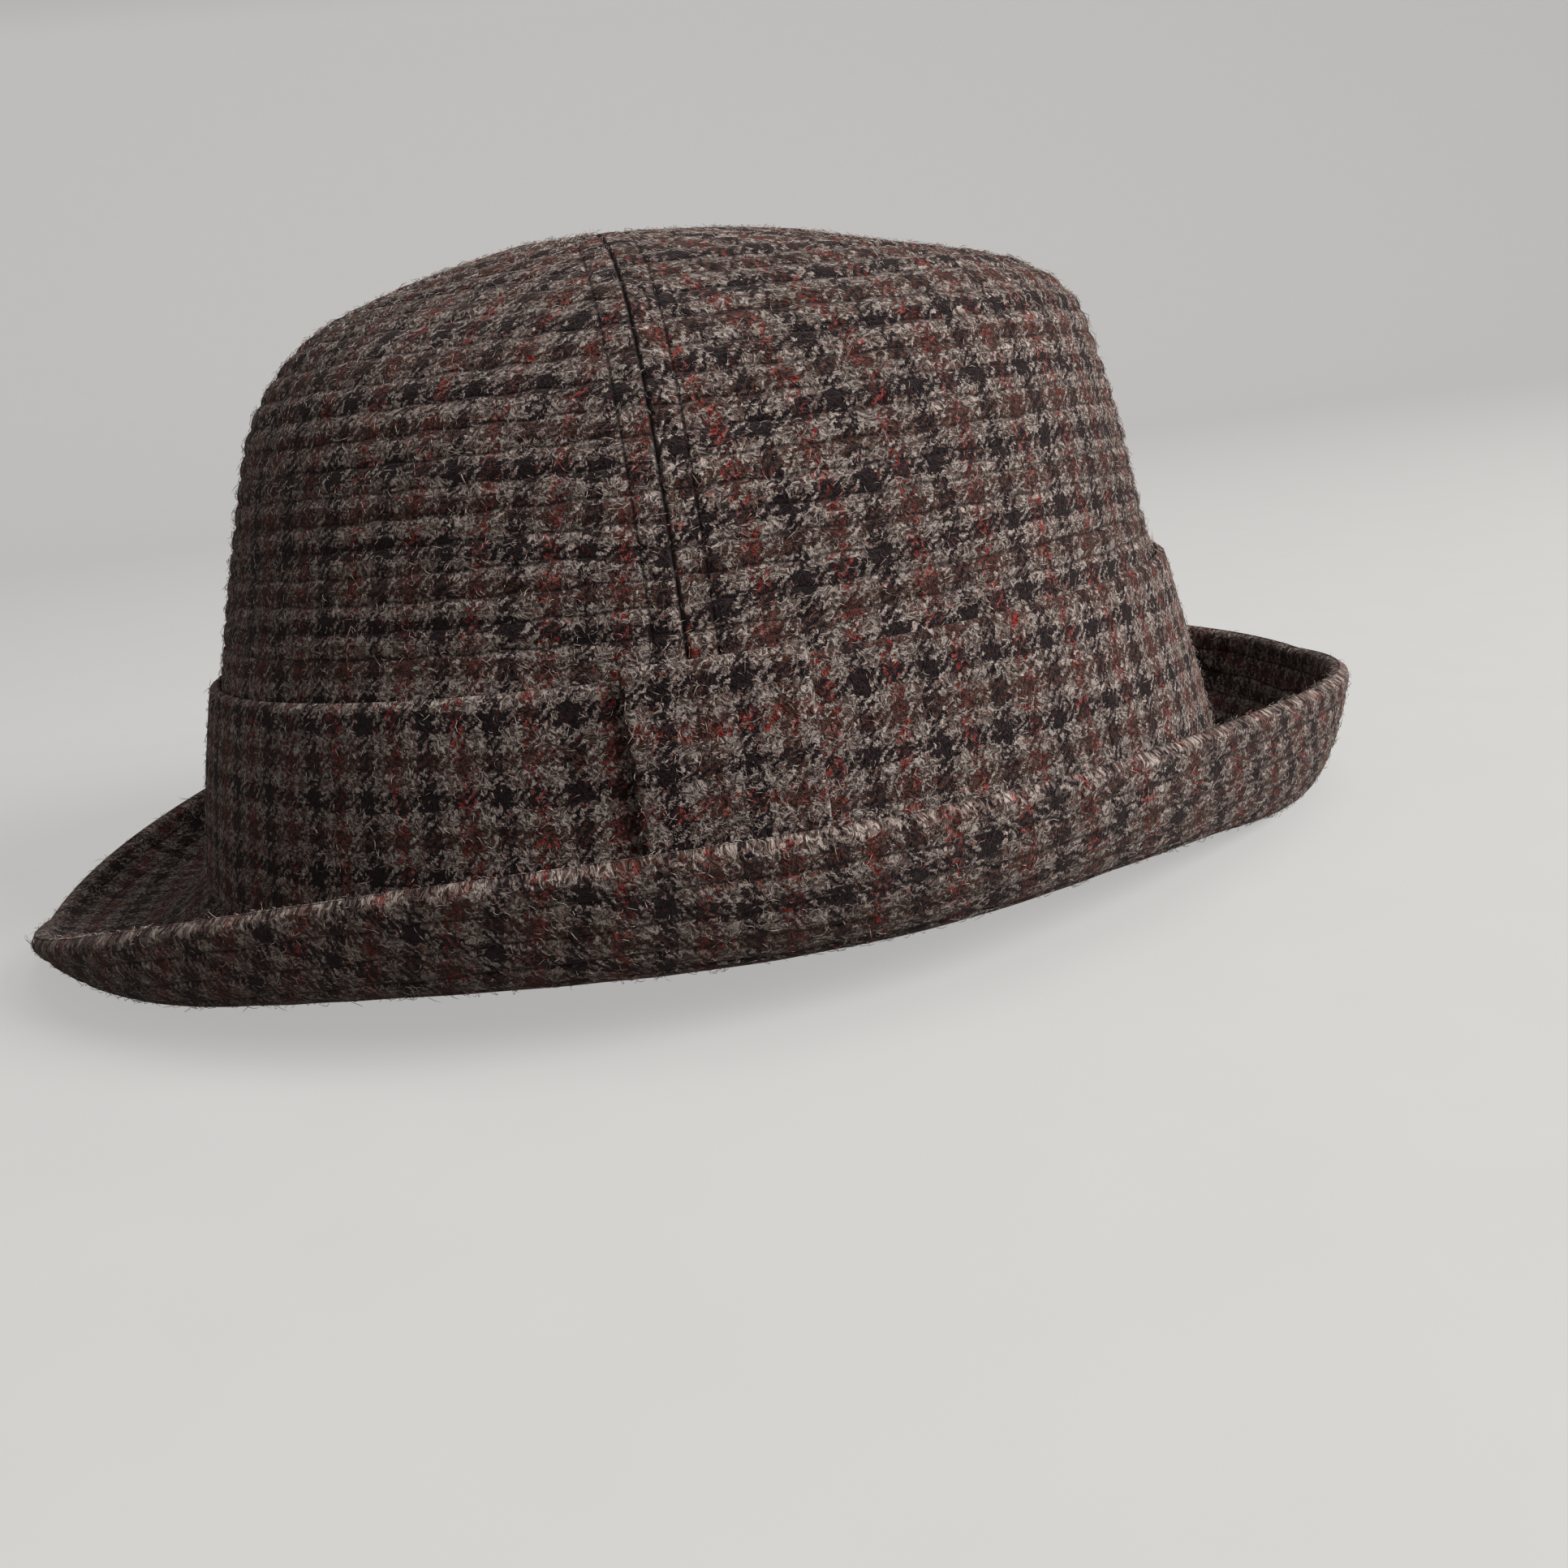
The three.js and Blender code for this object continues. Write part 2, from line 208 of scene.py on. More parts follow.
class Finish:
    """A material being made up, node by node."""

    def __init__(self, name, **fixed):
        self.material = bpy.data.materials.new(name)
        self.material.use_nodes = True
        self.tree = self.material.node_tree
        self.shader = self.tree.nodes["Principled BSDF"]
        for socket, value in fixed.items():
            self.shader.inputs[socket.replace("_", " ")].default_value = value

    def add(self, kind, settings, inputs, out=0):
        node = self.tree.nodes.new("ShaderNode" + kind)
        for setting, value in settings.items():
            if setting == "stops":
                ramp = node.color_ramp.elements
                while len(ramp) < len(value):
                    ramp.new(0.5)
                for stop, (place, shade) in zip(ramp, value):
                    stop.position, stop.color = place, shade
            else:
                setattr(node, setting, value)
        for socket, value in inputs.items():
            self.join(value, node.inputs[socket])
        return Value(self, node.outputs[out])

    def join(self, value, socket):
        if isinstance(value, Value):
            self.tree.links.new(value.socket, socket)
        else:
            socket.default_value = value

    def noise(self, at, scale, detail=2.0, out=0, **more):
        return self.add("TexNoise", {}, {"Vector": at, "Scale": scale, "Detail": detail, **more}, out)

    def blend(self, amount, first, second, mode="MIX"):
        return self.add("Mix", {"data_type": "RGBA", "blend_type": mode},
                        {0: amount, 6: first, 7: second}, 2)

    def dim(self, colour, red, green, blue):
        """A colour made darker or lighter by numbers that change over the cloth."""
        shade = self.add("CombineColor", {}, {0: red, 1: green, 2: blue})
        return self.blend(1.0, colour, shade, "MULTIPLY")

    def ease(self, value, low, high, start=0.0, end=1.0):
        return self.add("MapRange", {"interpolation_type": "SMOOTHSTEP"},
                        {0: value, 1: low, 2: high, 3: start, 4: end})

    def along(self, kind, first, second):
        return self.add("VectorMath", {"operation": kind}, {0: first, 1: second})

    def spread(self, name="cloth"):
        """Place on the flat cloth in millimetres, as a vector and its two numbers."""
        flat = self.add("UVMap", {"uv_map": name}, {})
        flat = self.along("MULTIPLY", flat, (1000, 1000, 1000))
        return flat, self.part(flat, 0), self.part(flat, 1)

    def part(self, vector, which):
        return self.add("SeparateXYZ", {}, {0: vector}, which)

    def done(self, colour, roughness, height, relief):
        """Joins what was made to the shader; height is in millimetres."""
        self.join(colour, self.shader.inputs["Base Color"])
        self.join(roughness, self.shader.inputs["Roughness"])
        bump = self.add("Bump", {}, {"Strength": relief, "Distance": 0.001, "Height": height})
        self.join(bump, self.shader.inputs["Normal"])
        return self.material


def dye(red, green, blue):
    """A yarn's colour as it looks, 0 to 255, turned into light."""
    parts = [c / 255 for c in (red, green, blue)]
    return (*[c / 12.92 if c <= 0.04045 else ((c + 0.055) / 1.055) ** 2.4 for c in parts], 1)


YARN = 0.525
CHECK = 24  # yarns in one repeat: dark, light, brown, light


def tweed(name, turned=False, rows=None, seams=False, worn=False, shade=1.0):
    """Two-and-two twill in a gun-club check, hairy, with rust threads one way.
    rows is a second map: distance from a row of stitching, and from a topstitch or the edge."""
    f = Finish(name, Sheen_Weight=0.12, Sheen_Roughness=0.5,
               Sheen_Tint=(0.8, 0.7, 0.64, 1), Specular_IOR_Level=0.08)
    flat, across, up = f.spread()
    slow = f.noise(flat, 0.1, 2, 1)
    quick = f.noise(flat, 0.75, 3, 1, Roughness=0.6)
    move = f.along("ADD", f.along("MULTIPLY", slow, (3.6, 3.6, 0)),
                   f.along("MULTIPLY", quick, (3.0, 3.0, 0)))
    u = (across + f.part(move, 0) - 3.3) / YARN
    v = (up + f.part(move, 1) - 3.3) / YARN
    if turned:
        u, v = v, u
    over = ((math.floor(u) - math.floor(v)) % 4) < 2
    warp_at, weft_at = math.floor(u) % CHECK, math.floor(v) % CHECK

    light, dark = dye(122, 102, 96), dye(36, 25, 31)
    brown, rust, cocoa = dye(94, 50, 45), dye(156, 50, 42), dye(92, 58, 48)
    stray = f.noise(flat, 0.42, 3, 0)
    warp_dark = warp_at < 6
    warp_rust = ((warp_at > 11.5) * (warp_at < 17.5))
    weft_dark = weft_at < 6
    weft_brown = ((weft_at > 11.5) * (weft_at < 17.5))
    warp = f.blend(warp_dark, light, dark)
    warp = f.blend(warp_rust, warp, f.blend(f.ease(stray, 0.46, 0.56), brown, rust))
    weft = f.blend(weft_dark, light, dark)
    weft = f.blend(weft_brown, weft, cocoa)
    colour = f.blend(over, weft, warp)

    # Round yarns that dip where they pass under the next two
    side_warp, side_weft = u % 1 - 0.5, v % 1 - 0.5
    run_warp = ((math.floor(u) - v + 1) % 4) / 2
    run_weft = (((u - math.floor(v)) % 4) - 2) / 2
    side = side_weft + (side_warp - side_weft) * over
    run = run_weft + (run_warp - run_weft) * over
    round_yarn = (1 - side * side * 4) * (0.45 + 2.2 * run * (1 - run))

    # Loose wool raised over the weave: pale curling strokes, and painted shade in the gaps between
    # clumps of wool
    curl = f.along("ADD", flat, f.along("MULTIPLY", f.noise(flat, 0.55, 2, 1), (2.6, 2.6, 0)))
    strokes = None
    for lean, shift in ((0.5, 3), (-0.75, 29), (1.45, 57)):
        laid = f.add("Mapping", {"vector_type": "TEXTURE"},
                     {"Vector": curl, "Location": (shift, shift, 0), "Rotation": (0, 0, lean),
                      "Scale": (0.36, 1.25, 1)})
        stroke = f.ease(f.noise(laid, 0.66, 1.5, Roughness=0.6), 0.54, 0.62)
        strokes = stroke if strokes is None else strokes.most(stroke)
    paleness = f.ease(f.add("RGBToBW", {}, {0: colour}), 0.02, 0.17)
    clumps = f.noise(curl, 1.6, 3, Roughness=0.7)
    gaps = f.ease(clumps, 0.42, 0.58)
    # Painted shade: the colour is darker at the sides of each round yarn and in the gaps between
    # clumps of wool
    painted_shade = (0.06 + (0.3 + 0.7 * round_yarn) * (0.14 + 1.0 * gaps)).least(1.15)
    colour = f.dim(colour, painted_shade, painted_shade, painted_shade)
    tip = f.blend(paleness, dye(74, 56, 56), dye(212, 202, 192))
    tip = f.blend(f.ease(stray, 0.6, 0.68) * 0.8, tip, dye(160, 68, 50))
    colour = f.blend(strokes * (0.24 + 0.5 * paleness) * (0.45 + 0.55 * gaps), colour, tip)
    # A slow random unevenness of tone, times shade: below 1 it is painted shade that darkens a whole
    # piece
    tone_and_shade = f.ease(f.noise(flat, 0.03, 2), 0.3, 0.7, 0.88, 1.08) * shade
    colour = f.dim(colour, tone_and_shade, tone_and_shade * 0.97, tone_and_shade * 0.96)
    height = round_yarn * 0.12 * gaps + strokes * 0.22 + clumps * 0.35

    if rows:
        _, off_row, off_line = f.spread(rows)
        ridge = 1 - f.ease(abs(off_row + clumps * 0.4 - 0.2), 0.05, 0.42)
        stitch = 1 - f.ease(abs(across / 2.6 % 1 - 0.5), 0.34, 0.5)
        stitch_and_seam_shade = ridge * (0.42 + 0.3 * stitch)
        if seams:
            line = 1 - f.ease(abs(off_line), 0.05, 0.45)
            line_stitch = 1 - f.ease(abs(up / 2.6 % 1 - 0.5), 0.34, 0.5)
            # The seam line itself is darkened near black: painted shade in the crevice between the
            # panels
            join = 1 - f.ease(off_line + TOPSTITCH, 0.1, 0.6)
            stitch_and_seam_shade = stitch_and_seam_shade.most(line * (0.5 + 0.3 * line_stitch)).most(join * 0.85)
        if worn:
            rub = 1 - f.ease(off_line, 0.4, 3.0)
            colour = f.blend(rub * 0.3 * strokes, colour, dye(176, 156, 146))
        # Near black along the rows of stitching and the topstitches, and along the seam as painted
        # shade
        colour = f.blend(stitch_and_seam_shade, colour, dye(20, 13, 14))
        height = height * (1 - stitch_and_seam_shade) - stitch_and_seam_shade * 0.12
    return f.done(colour, 0.88 + 0.1 * gaps, height, 0.95)


crown_tweed = tweed("crown_tweed", rows="rows", seams=True)


def add_rows(piece, off):
    """Second map of a quilted piece: distance from the nearest row and from the topstitching."""
    mesh = piece.data
    layer = mesh.uv_layers.new(name="rows")
    values = np.array([off[tuple(np.round(v.co, 7))] for v in mesh.vertices], float) / 1000
    corners = np.empty(len(mesh.loops), int)
    mesh.loops.foreach_get("vertex_index", corners)
    layer.uv.foreach_set("vector", values[corners].ravel().astype(np.float32))


faces_of_cloth = {}
PER_ROW = 7
STRIPS = 92  # upright strips in a panel, closer together at its seams
FOOT_STEPS = 8
GRAIN_AT = 0.84  # angle of the panel's straight grain
GRAIN_LEAN, GRAIN_DROOP = 0.085, 640
rows = np.arange(-2, ROWS_ON_WALL + ROWS_ON_TOP + 0.01, 1 / PER_ROW)
for name, side_x, side_y in (("crown_front_left", 1, -1), ("crown_front_right", -1, -1),
                             ("crown_back_left", 1, 1), ("crown_back_right", -1, 1)):
    t = np.linspace(0, 1, STRIPS + 1)
    t = t - 0.11 * np.sin(2 * math.pi * t)
    face, back, flat, off = [], [], [], []
    for angle in t * side_y * math.pi / 2:
        angle = float(angle)
        first = row_runs(angle, rows[:1])[0]
        runs = np.concatenate([np.linspace(0, first, FOOT_STEPS + 1)[:-1], row_runs(angle, rows)])
        at, out = on_crown(angle, runs)
        seam, centre = abs(at[:, 1] - SEAM_Y), abs(at[:, 0])
        edge = np.minimum(seam, centre)
        turn = np.clip(1 - edge / 0.9, 0, 1)
        sink = 0.6 * (1 - np.sqrt(1 - turn ** 2))
        number = np.concatenate([np.full(FOOT_STEPS, 0.5), rows])
        wavy = 0.05 * np.sin(angle * 41 + number * 2.3)
        near_row = number + wavy - np.round(number)
        near_row[:2 * FOOT_STEPS] = 0.5
        bare = np.clip((number + 2) / 0.6, 0, 1)
        sink = sink + ROW_SINK * np.clip(1 - abs(near_row) / 0.2, 0, 1) ** 1.5
        stitched = np.abs(edge - TOPSTITCH)
        sink = sink + 0.36 * np.exp(-(stitched / 0.5) ** 2) * bare
        puff = ROW_PUFF * np.cos(math.pi * near_row * 2 + math.pi) * bare
        puff = puff + 0.22 * ripple(at, 9.0, 3 + side_x) * bare
        puff[:FOOT_STEPS + 1] = 0
        face.append(at + out * (puff - sink)[:, None])
        back.append(at - out * np.maximum(CROWN_CLOTH, sink + 0.5)[:, None])
        # Straight grain at the middle of the panel, drooping to the seams
        reach = np.hypot(at[:, 0], at[:, 1] - SEAM_Y)
        beside = (angle - side_y * GRAIN_AT) * np.maximum(reach, 1)
        flat.append(np.stack([beside - GRAIN_LEAN * runs + 40 * (side_y + 2),
                              runs + beside ** 2 / GRAIN_DROOP + 5 * side_y + 20], 1))
        off.append(np.stack([near_row * ROW_PITCH, edge - TOPSTITCH], 1))
    face, back, flat, off = (np.array(a) for a in (face, back, flat, off))
    for sheet in (face, back):
        sheet[..., 0] = (sheet[..., 0] + PANEL_GAP) * side_x
        sheet[..., 1] += PANEL_GAP * side_y
    flat[..., 0] *= side_x
    piece = sewn_piece(name + "_cloth", face, back, flat, stands_for=[name])
    spots = {}
    for sheet in (face, back):
        for at, far in zip(sheet.reshape(-1, 3), off.reshape(-1, 2)):
            spots[tuple(np.round(Vector(at) / 1000, 7))] = far
    add_rows(piece, spots)
    piece.data.materials.append(crown_tweed)
    faces_of_cloth[name] = face

# ---------------------------------------------------------------------------
# Nap: the loose curly wool that stands off the tweed, most of it pale. Each
# hair is a thin closed thread, caught in the cloth at one end or at both.
# ---------------------------------------------------------------------------
HAIR_STEPS, HAIR_SIDES = 4, 3


def wool_nap(name):
    f = Finish(name, Sheen_Weight=0.2, Specular_IOR_Level=0.1)
    spot = f.add("TexCoord", {}, {}, 3)
    mix = f.noise(spot, 600.0, 1)
    colour = f.blend(f.ease(mix, 0.4, 0.5), dye(70, 52, 50), dye(192, 178, 166))
    colour = f.blend(f.ease(mix, 0.6, 0.66), colour, dye(150, 66, 50))
    return f.done(colour, 0.9 + 0.08 * mix, mix * 0.01, 0.2)


nap = wool_nap("wool_nap")


def add_nap(name, face, total, seed, away_from=(0, 0, 20), longest=3.2):
    """Hairs spread evenly over the face of a piece, which is a grid of points."""
    chance = np.random.default_rng(seed)
    step_a, step_b = face[1:, :-1] - face[:-1, :-1], face[:-1, 1:] - face[:-1, :-1]
    out = np.cross(step_a, step_b)
    size = np.linalg.norm(out, axis=2)
    i, j = np.unravel_index(chance.choice(size.size, total, p=(size / size.sum()).ravel()),
                            size.shape)
    mix_a, mix_b = chance.random((2, total, 1))
    at = face[:-1, :-1][i, j] + step_a[i, j] * mix_a + step_b[i, j] * mix_b
    out = out[i, j] / size[i, j][:, None]
    out *= np.sign(np.sum(out * (at - away_from), axis=1))[:, None]
    guess = chance.normal(size=(total, 3))
    along = np.cross(out, guess)
    along /= np.linalg.norm(along, axis=1)[:, None]
    sideways = np.cross(out, along)
    length = chance.uniform(0.35, 1, (total, 1)) ** 1.5 * longest
    curve = chance.uniform(-2.2, 2.2, (total, 1))
    rise = chance.uniform(0.15, 0.75, (total, 1)) ** 1.6
    loose = chance.random((total, 1)) < 0.35
    path = []
    for s in np.linspace(0, 1, HAIR_STEPS + 1):
        turn = curve * s
        reach = length * s
        up = np.where(loose, s * rise * 1.6, np.sin(math.pi * s) * rise) - 0.12 * (1 - s)
        path.append(at + along * reach * np.cos(turn) + sideways * reach * np.sin(turn) * 0.8
                    + out * up)
    path = np.array(path)
    thick = 0.05 * np.array([0, 1, 1, 0.8, 0])
    round_hair = np.linspace(0, 2 * math.pi, HAIR_SIDES + 1)
    round_hair[-1] = 0
    bm = bmesh.new()
    columns = HAIR_STEPS + 1
    bmesh.ops.create_grid(bm, x_segments=total * columns - 1, y_segments=HAIR_SIDES, size=0.5)
    wide = total * columns - 1
    place = {v: (round((v.co.x + 0.5) * wide), round((v.co.y + 0.5) * HAIR_SIDES)) for v in bm.verts}
    between = [part for part in bm.faces
               if min(place[v][0] for v in part.verts) % columns == HAIR_STEPS]
    bmesh.ops.delete(bm, geom=between, context="FACES")
    for v, (column, side) in place.items():
        hair, step = divmod(column, columns)
        turn = round_hair[side]
        swing = sideways[hair] * math.cos(turn) + out[hair] * math.sin(turn)
        v.co = Vector(path[step, hair] + swing * thick[step]) / 1000
    bmesh.ops.remove_doubles(bm, verts=bm.verts, dist=1e-8)
    bmesh.ops.recalc_face_normals(bm, faces=bm.faces)
    for part in bm.faces:
        part.smooth = True
    mesh = bpy.data.meshes.new(name)
    bm.to_mesh(mesh)
    bm.free()
    piece = bpy.data.objects.new(name, mesh)
    bpy.context.collection.objects.link(piece)
    piece.data.materials.append(nap)
    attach(piece, "root")


for number, (name, face) in enumerate(faces_of_cloth.items()):
    add_nap(name + "_nap", face, 5200, 11 + number)

# ---------------------------------------------------------------------------
# Canvas under the crown cloth, which the rows of stitching quilt to it. It
# is unbleached cotton, blocked to the crown's shape and hidden by the lining.
# ---------------------------------------------------------------------------
CANVAS_DEPTH, CANVAS_THICK = 1.75, 0.6


def woven_canvas(name):
    f = Finish(name, Specular_IOR_Level=0.2)
    flat, across, up = f.spread()
    u, v = across / 0.6, up / 0.6
    over = ((math.floor(u) + math.floor(v)) % 2) < 1
    side = (v % 1 - 0.5) + ((u % 1) - (v % 1)) * over
    rounded = 1 - side * side * 4
    tone = f.ease(f.noise(flat, 0.5, 3), 0.3, 0.7)
    colour = f.blend(tone, dye(196, 186, 165), dye(222, 214, 196))
    # Painted shade: the colour is darker at the sides of each round yarn
    painted_shade = 0.72 + 0.28 * rounded
    colour = f.dim(colour, painted_shade, painted_shade, painted_shade)
    return f.done(colour, 0.86 + 0.1 * tone, rounded * 0.12, 0.8)


canvas = woven_canvas("cotton_canvas")


def around(count):
    """Angles round the hat, closing on the first."""
    turn = np.linspace(0, 2 * math.pi, count + 1)
    turn[-1] = 0
    return [float(a) for a in turn]


def crown_skin(name, depth, thick, low, high, rows_up, finish, stands_for):
    """A lining of the crown: a ring between two distances up it, or a cap that ends at the top."""
    sections, flats = [], []
    for k, angle in enumerate(around(96)):
        run = crown_wall(angle)[0]
        top = run[-1] if high is None else high(angle) if callable(high) else at_height(angle, high)
        foot = low(angle) if callable(low) else at_height(angle, low)
        runs = np.linspace(float(foot), float(top), rows_up)
        at, out = on_crown(angle, runs)
        outer, inner = at - out * depth, at - out * (depth + thick)
        if high is None:
            loop = np.concatenate([outer[::-1], inner])
            length = np.concatenate([runs[::-1], runs])
        else:
            loop = np.concatenate([inner, outer[::-1], inner[:1]])
            length = np.concatenate([runs, runs[::-1], runs[:1]])
        sections.append(loop)
        flats.append(np.stack([np.full(len(length), k * 5.9), length], 1))
    piece = sewn_piece(name, np.array(sections), None, np.array(flats), stands_for)
    piece.data.materials.append(finish)
    return piece


crown_skin("crown_canvas", CANVAS_DEPTH, CANVAS_THICK, 0, None, 40, canvas,
           ["crown_interlining"])

# ---------------------------------------------------------------------------
# Lining: a satin side piece gathered into a satin tip, with a cotton tape
# sewn over the raw edge of the head seam below it.
# ---------------------------------------------------------------------------
LINING_DEPTH, LINING_THICK = 2.72, 0.4


def tip_seam(angle):
    """Distance up the crown of the seam between the side piece and the tip."""
    run = crown_wall(angle)[0]
    return run[len(run) * 6 // 10]


def satin(name):
    f = Finish(name, Sheen_Weight=0.15, Specular_IOR_Level=0.45)
    flat, across, up = f.spread()
    sheen_lines = f.noise(f.along("MULTIPLY", flat, (9.0, 0.5, 1)), 1.0, 2)
    tone = f.ease(sheen_lines, 0.3, 0.7)
    crease = f.noise(f.along("MULTIPLY", flat, (0.12, 0.03, 1)), 1.0, 2)
    # Lighter streaks along the warp: painted sheen of the satin
    colour = f.blend(tone, dye(74, 46, 39), dye(100, 66, 56))
    return f.done(colour, 0.3 + 0.16 * tone, sheen_lines * 0.05 + crease * 1.2, 0.5)


lining_satin = satin("lining_satin")
crown_skin("lining_side_satin", LINING_DEPTH, LINING_THICK, 7.8,
           lambda angle: tip_seam(angle) - 0.25, 30, lining_satin, ["lining_side"])
crown_skin("lining_tip_satin", LINING_DEPTH, LINING_THICK,
           lambda angle: tip_seam(angle) + 0.25, None, 22, lining_satin, ["lining_tip"])
crown_skin("head_seam_tape", LINING_DEPTH, LINING_THICK, 0.5, 7.5, 4, canvas,
           ["head_tape"])

# ---------------------------------------------------------------------------
# Sweatband: a strip of smooth brown leather, turned over a nylon reed at its
# lower edge and sewn in at the head line, with a stitched line above the reed.
# ---------------------------------------------------------------------------
SWEAT_DEPTH, SWEAT_THICK, SWEAT_HIGH = 3.5, 0.85, 35


def band_leather(name):
    f = Finish(name, Coat_Weight=0.12, Coat_Roughness=0.35, Specular_IOR_Level=0.4)
    flat, across, up = f.spread()
    grain = f.add("TexVoronoi", {"feature": "DISTANCE_TO_EDGE"}, {"Vector": flat, "Scale": 1.6})
    pores = f.ease(grain, 0.0, 0.12)
    wear = f.noise(flat, 0.05, 3)
    colour = f.blend(f.ease(wear, 0.35, 0.65), dye(84, 52, 33), dye(116, 76, 50))
    colour = f.blend(0.35 * (1 - pores), colour, dye(52, 31, 20))
    seam = 1 - f.ease(abs(up - 4), 0.15, 0.5)
    stitch = seam * (1 - f.ease(abs(across / 2.4 % 1 - 0.5), 0.32, 0.42))
    colour = f.blend(stitch, colour, dye(196, 176, 140))
    return f.done(colour, 0.42 + 0.25 * wear, pores * 0.08 + stitch * 0.25 - seam * 0.15, 0.7)


crown_skin("sweatband_leather", SWEAT_DEPTH, SWEAT_THICK, 0.1, SWEAT_HIGH, 14,
           band_leather("sweatband_leather"), ["sweatband"])

REED = 0.8
sections, flats = [], []
for k, angle in enumerate(around(96)):
    at, out = on_crown(angle, np.zeros(1))
    middle = at[0] - out[0] * (SWEAT_DEPTH + SWEAT_THICK / 2)
    middle[2] = head_line(at[0][1]) - 0.3 - REED
    turn = np.linspace(0, 2 * math.pi, 13)
    turn[-1] = 0
    ring = middle - out[0] * (REED * np.cos(turn))[:, None]
    ring[:, 2] += REED * np.sin(turn)
    sections.append(ring)
    flats.append(np.stack([np.full(13, k * 5.6), np.linspace(0, 5, 13)], 1))
reed = sewn_piece("sweatband_reed_nylon", np.array(sections), None, np.array(flats),
                  ["sweatband_reed"])
f = Finish("reed_nylon", Specular_IOR_Level=0.5, Coat_Weight=0.05)
flat, across, up = f.spread()
haze = f.noise(flat, 0.6, 3)
reed.data.materials.append(f.done(f.blend(haze, dye(214, 208, 192), dye(236, 232, 220)),
                                  0.3 + 0.2 * haze, haze * 0.05, 0.4))

# ---------------------------------------------------------------------------
# A small flat ribbon bow at the back of the sweatband, stitched down at its
# knot, and a plain woven size ticket beside it.
# ---------------------------------------------------------------------------
BOW_WIDE, BOW_HIGH = 24, 9
bow_reach = CROWN_LONG / 2 + CROWN_MIDDLE - SEAM_Y
t = np.linspace(-1, 1, 41)
face, back, flats = [], [], []
for side in t:
    angle = float(math.pi / 2 - side * BOW_WIDE / 2 / bow_reach)
    knot = math.exp(-(side / 0.16) ** 4)
    tall = BOW_HIGH * (0.42 + 0.58 * abs(side) ** 0.8) * (1 - knot) + BOW_HIGH * 0.5 * knot
    spread = np.linspace(-0.5, 0.5, 13)
    runs = at_height(angle, SWEAT_HIGH * 0.62 + spread * tall)
    at, out = on_crown(angle, runs)
    puff = 0.55 * np.sqrt(np.clip(1 - (spread * 2) ** 2, 0, 1)) * (0.6 + 0.4 * knot)
    pleat = 0.1 * np.cos(spread * 25) * (1 - abs(side)) * (1 - knot)
    face.append(at - out * (5.35 + puff + pleat)[:, None])
    back.append(at - out * 5.05)
    flats.append(np.stack([np.full(13, side * BOW_WIDE / 2), spread * BOW_HIGH], 1))
bow = sewn_piece("sweatband_bow_ribbon", np.array(face), np.array(back), np.array(flats),
                 ["sweatband_bow"])
f = Finish("bow_ribbon", Sheen_Weight=0.3, Specular_IOR_Level=0.3)
flat, across, up = f.spread()
rib = 1 - abs(across / 0.7 % 1 - 0.5) * 2
tone = f.noise(flat, 1.2, 2)
# Lighter on the crest of each rib and darker between the ribs: painted shade, with a random tone over
# it
bow.data.materials.append(f.done(
    f.blend(rib * 0.6 + tone * 0.4, dye(36, 26, 23), dye(70, 52, 46)), 0.5 + 0.2 * tone,
    rib * 0.14, 0.8))

TICKET_WIDE, TICKET_HIGH = 15, 9
face, back, flats = [], [], []
for side in np.linspace(-0.5, 0.5, 13):
    angle = float(math.pi * 0.36 + side * TICKET_WIDE / bow_reach)
    spread = np.linspace(-0.5, 0.5, 9)
    at, out = on_crown(angle, at_height(angle, SWEAT_HIGH * 0.45 + spread * TICKET_HIGH))
    edge = np.minimum(0.5 - abs(side), 0.5 - abs(spread))
    lift = 0.16 + 0.2 * np.clip(edge / 0.1, 0, 1)
    face.append(at - out * (5.05 + lift)[:, None])
    back.append(at - out * 5.05)
    flats.append(np.stack([np.full(9, side * TICKET_WIDE), spread * TICKET_HIGH], 1))
ticket = sewn_piece("size_ticket_tape", np.array(face), np.array(back), np.array(flats),
                    ["size_ticket"])
ticket.data.materials.append(woven_canvas("ticket_tape"))

# ---------------------------------------------------------------------------
# Brim: two rings of the tweed with a stiff canvas between them, turned at the
# outer edge, quilted with rows of stitching and steamed into a curl. Its inner
# edge goes under the crown wall.
# ---------------------------------------------------------------------------
BRIM_LONG, BRIM_WIDE, BRIM_TUCK = 276, 240, 1.6
BRIM_FRONT_PULL, BRIM_BACK_PULL = 6, 10.5
BRIM_FRONT, BRIM_SIDE, BRIM_BACK, BRIM_DROP_TO = 4, 31, 22, 0.4
BRIM_DEPTHS = {"under": (0, 1.3), "canvas": (1.6, 2.4), "upper": (2.7, 4.0)}
BRIM_LINE = [(0, 1), (.11, .68), (.22, .34), (.32, .1), (.42, 0),
             (.58, 0), (.7, -.07), (.8, -.2), (.89, -.42), (.96, -.72), (1, -1)]
BRIM_ROW_FIRST, BRIM_ROW_PITCH = 5.0, 5.4


